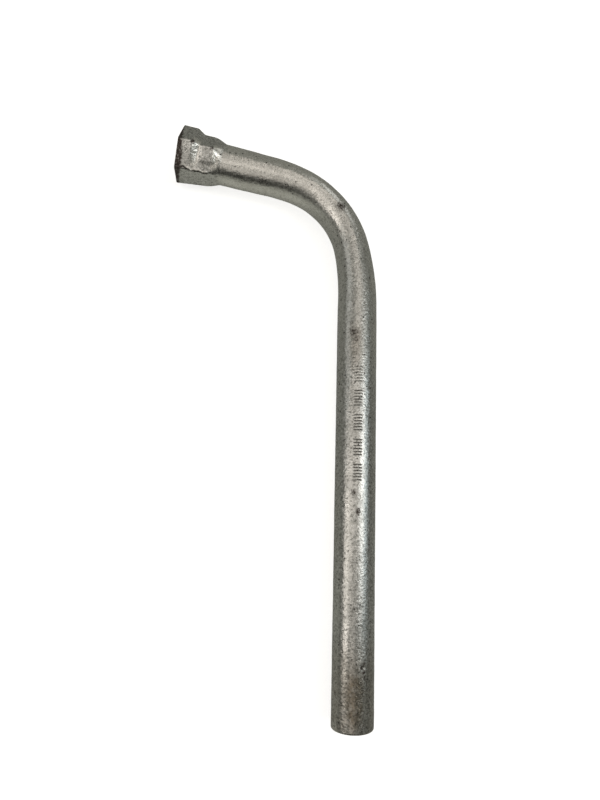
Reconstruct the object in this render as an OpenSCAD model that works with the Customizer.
// Wheel wrench made from one steel tube. One end is forged into a stepped
// hexagon socket, the tube is bent just behind it, and the other end is open.
//
// The tool lies flat with its bend in the XY plane and +Z up. The origin is the
// centre of the socket's mouth. The socket's axis is X and its mouth faces -X.
// The handle runs off towards -Y.

/* [Tube] */
// Outer diameter of the tube
tube_d = 20; // [18:0.5:24]
// Thickness of the tube's wall
tube_wall = 2.5; // [1.5:0.1:3]
// Straight length of the handle, from the bend to the open end
handle_l = 205; // [120:1:300]
// Radius rolled onto the outer edge of the open end
end_round = 0.9; // [0.2:0.1:1.2]
// Bevel on the inner edge of the open end
end_bevel = 0.4; // [0.1:0.1:0.5]

/* [Bend] */
// Length from the socket's mouth to the start of the bend
straight_l = 47.8; // [40:0.1:80]
// Angle of the easy arc next to the socket
out_angle = 9.8; // [4:0.2:20]
// Centreline radius of the easy arc next to the socket
out_r = 84.5; // [60:0.5:120]
// Angle of the tight arc in the middle
core_angle = 56.4; // [40:0.2:70]
// Centreline radius of the tight arc in the middle
core_r = 47.5; // [40:0.5:70]
// Angle of the easy arc next to the handle
in_angle = 12.8; // [4:0.2:20]
// Centreline radius of the easy arc next to the handle
in_r = 124.5; // [80:0.5:160]
// How much bending flattens each side of the tube, at the middle of the bend
flatten = 1.3; // [0:0.1:2]
// Share of that flattening by which the tube spreads across the bend
spread = 0.8; // [0:0.05:1]
// Distance from the middle of the tight arc to the flattest place, towards the handle
flatten_shift = 2.8; // [-4:0.1:4]
// Length along the tube, either side of the flattest place, that bending has flattened
flatten_reach = 63.5; // [40:0.5:66]

/* [Hexagon socket] */
// Width across the flats inside the mouth, for a 17 mm bolt head
socket_af = 17.2; // [16:0.1:18]
// Depth of the hexagon, from the mouth
socket_depth = 16; // [12:0.5:16.5]
// Length behind the hexagon over which its bore tapers to the round bore
taper_l = 4; // [2:0.1:4.5]
// Bevel that leads a bolt head into the mouth
lead_in = 1.4; // [0.6:0.1:1.8]
// Turn of the hexagon about its axis from a corner straight up, towards the handle if positive
socket_turn = -3.7; // [-10:0.1:10]
// Width across the flats outside the collar at the mouth
collar_af = 25.3; // [23.5:0.1:26]
// Radius of the collar over its rounded corners
collar_corner_r = 14.35; // [13.6:0.05:15]
// Length of the collar
collar_l = 6.7; // [5:0.1:8]
// Bevel round the collar's rim
rim_bevel = 0.4; // [0.1:0.1:0.8]
// Width across the flats outside the shoulder behind the collar
shoulder_af = 21.5; // [20.8:0.1:22.5]
// Radius of the shoulder over its rounded corners
shoulder_corner_r = 12.2; // [11.8:0.05:12.6]
// Distance from the mouth at which the collar has sloped down to the shoulder
shoulder_start = 10.3; // [9:0.1:12]
// Distance from the mouth at which the shoulder's flats end
shoulder_end = 16.9; // [16.6:0.1:19]
// Distance from the mouth at which the forging is round
neck_start = 22.2; // [21:0.1:24]
// Radius of the round neck where it meets the forging
neck_r = 10.2; // [10:0.05:10.6]

/* [Smoothness] */
// Sides of the round section in the neck and the bend
sides = 36; // [24:12:48]
// Longest step between two sections along the neck and the bend
step_l = 4; // [3:0.5:8]

/* [Hidden] */
$fn = 96;
eps = 0.01;
tube_r = tube_d / 2;
bore_r = tube_r - tube_wall;
steel = [0.62, 0.63, 0.61];
dull_steel = [0.50, 0.51, 0.48];

// The centreline is three right-hand arcs between two straights.
arcs = [[out_r, out_angle], [core_r, core_angle], [in_r, in_angle]];
function arc_l(arc) = arc[0] * arc[1] * PI / 180;
out_end = straight_l + arc_l(arcs[0]);
core_end = out_end + arc_l(arcs[1]);
bend_end = core_end + arc_l(arcs[2]);
tube_end = bend_end + handle_l;

// A place on the centreline is [x, y, heading in degrees].
function ahead(place, l) =
    [place[0] + l * cos(place[2]), place[1] + l * sin(place[2]), place[2]];
function turned(place, r, angle) =
    let (heading = place[2] - angle)
    [place[0] + r * (sin(place[2]) - sin(heading)),
     place[1] + r * (cos(heading) - cos(place[2])),
     heading];
function along_arc(place, r, l) = turned(place, r, l / r * 180 / PI);

bend_place = [straight_l, 0, 0];
core_place = turned(bend_place, out_r, out_angle);
in_place = turned(core_place, core_r, core_angle);
handle_place = turned(in_place, in_r, in_angle);

function place_at(s) =
    s <= straight_l ? [s, 0, 0]
    : s <= out_end ? along_arc(bend_place, out_r, s - straight_l)
    : s <= core_end ? along_arc(core_place, core_r, s - out_end)
    : s <= bend_end ? along_arc(in_place, in_r, s - core_end)
    : ahead(handle_place, s - bend_end);

// The flattening fades to nothing either side of the flattest place. The handle's
// own node starts where the tube is straight and round again.
flattest = (out_end + core_end) / 2 + flatten_shift;
handle_start = max(bend_end, flattest + flatten_reach);
function flattened(s) =
    flatten * (1 + cos(180 * min(1, abs(s - flattest) / flatten_reach))) / 2;

// The neck swells a little from the bend to the forging.
function swell(s) =
    (neck_r - tube_r) * max(0, min(1, (out_end - s) / (out_end - neck_start)));
function half_width(s) = tube_r + swell(s) - flattened(s);
function half_height(s) = tube_r + swell(s) + spread * flattened(s);

// One oval ring of points round the centreline, inset from the outer surface.
function ring(s, inset) =
    let (p = place_at(s), w = half_width(s) - inset, h = half_height(s) - inset)
    [for (i = [0:sides - 1])
        let (t = 360 * i / sides)
        [p[0] + w * cos(t) * sin(p[2]), p[1] - w * cos(t) * cos(p[2]), h * sin(t)]];

// A hollow stretch of tube between two distances along the centreline.
module tube_stretch(from, to) {
    count = ceil((to - from) / step_l);
    stations = [for (k = [0:count]) from + (to - from) * k / count];
    outer = [for (s = stations) each ring(s, 0)];
    inner = [for (s = stations) each ring(s, tube_wall)];
    n = len(outer);
    last = count * sides;
    wrap = [for (i = [0:sides - 1]) [i, (i + 1) % sides]];
    outer_faces = [for (k = [0:count - 1], w = wrap)
        [k * sides + w[0], k * sides + w[1], (k + 1) * sides + w[1], (k + 1) * sides + w[0]]];
    inner_faces = [for (f = outer_faces) [n + f[3], n + f[2], n + f[1], n + f[0]]];
    start_cap = [for (w = wrap) [n + w[0], n + w[1], w[1], w[0]]];
    end_cap = [for (f = start_cap) [f[3] + last, f[2] + last, f[1] + last, f[0] + last]];
    polyhedron(concat(outer, inner), concat(outer_faces, inner_faces, start_cap, end_cap));
}

// Turns +Z into +X, with the hexagon's corners up and down apart from its turn.
module on_socket_axis(x) {
    translate([x, 0, 0]) rotate([socket_turn, 0, 0]) rotate([0, 90, 0]) children();
}

// A stretch of hexagon whose corners are rounded off at a radius. It starts at
// one size, [width across flats, corner radius], and may end at another.
module hexagon_stretch(size, end_size, l) {
    intersection() {
        cylinder(h = l, r1 = size[0] / sqrt(3), r2 = end_size[0] / sqrt(3), $fn = 6);
        cylinder(h = l, r1 = size[1], r2 = end_size[1]);
    }
}

collar_size = [collar_af, collar_corner_r];
shoulder_size = [shoulder_af, shoulder_corner_r];
neck_size = [2 * neck_r, neck_r];
bore_size = [socket_af, socket_af / sqrt(3)];
neck_bore_r = neck_r - tube_wall;
neck_bore_size = [2 * neck_bore_r, neck_bore_r];

module hexagon_bore(l) {
    cylinder(h = l, r = socket_af / sqrt(3), $fn = 6);
}

// The collar at the mouth and the slope behind it.
module hex_socket() {
    color(dull_steel) difference() {
        union() {
            on_socket_axis(0) intersection() {
                hexagon_stretch(collar_size, collar_size, collar_l);
                cylinder(h = collar_l, r1 = collar_corner_r - rim_bevel,
                    r2 = collar_corner_r - rim_bevel + collar_l);
            }
            on_socket_axis(collar_l)
                hexagon_stretch(collar_size, shoulder_size, shoulder_start - collar_l);
        }
        on_socket_axis(-eps) hexagon_bore(shoulder_start + 2 * eps);
        on_socket_axis(-eps)
            cylinder(h = lead_in, r1 = socket_af / 2 + lead_in, r2 = socket_af / 2);
    }
}

// The smaller hexagon behind the collar, and the blend into the round neck.
module socket_shoulder() {
    color(steel) difference() {
        union() {
            on_socket_axis(shoulder_start)
                hexagon_stretch(shoulder_size, shoulder_size, shoulder_end - shoulder_start);
            on_socket_axis(shoulder_end)
                hexagon_stretch(shoulder_size, neck_size, neck_start - shoulder_end);
        }
        on_socket_axis(shoulder_start - eps)
            hexagon_bore(socket_depth - shoulder_start + eps);
        on_socket_axis(socket_depth - eps)
            hexagon_stretch(bore_size, neck_bore_size, taper_l + eps);
        on_socket_axis(socket_depth + taper_l - eps)
            cylinder(h = neck_start - socket_depth, r = neck_bore_r);
    }
}

module neck() {
    color(steel) tube_stretch(neck_start, straight_l);
}

module bend() {
    color(steel) tube_stretch(straight_l, handle_start);
}

// Half section of the round handle: its length is up, its axis is at the left.
module handle_profile(l) {
    polygon([
        [bore_r, 0], [tube_r, 0], [tube_r, l - end_round], [tube_r - end_round, l],
        [bore_r + end_bevel, l], [bore_r, l - end_bevel]
    ]);
    translate([tube_r - end_round, l - end_round]) intersection() {
        circle(r = end_round);
        square(end_round);
    }
}

// The round part of the handle, beyond the stretch that bending has flattened.
module handle() {
    p = place_at(handle_start);
    color(steel) translate([p[0], p[1], 0]) rotate([0, 0, p[2]]) rotate([0, 90, 0])
        rotate_extrude() handle_profile(tube_end - handle_start);
}

hex_socket();
socket_shoulder();
neck();
bend();
handle();
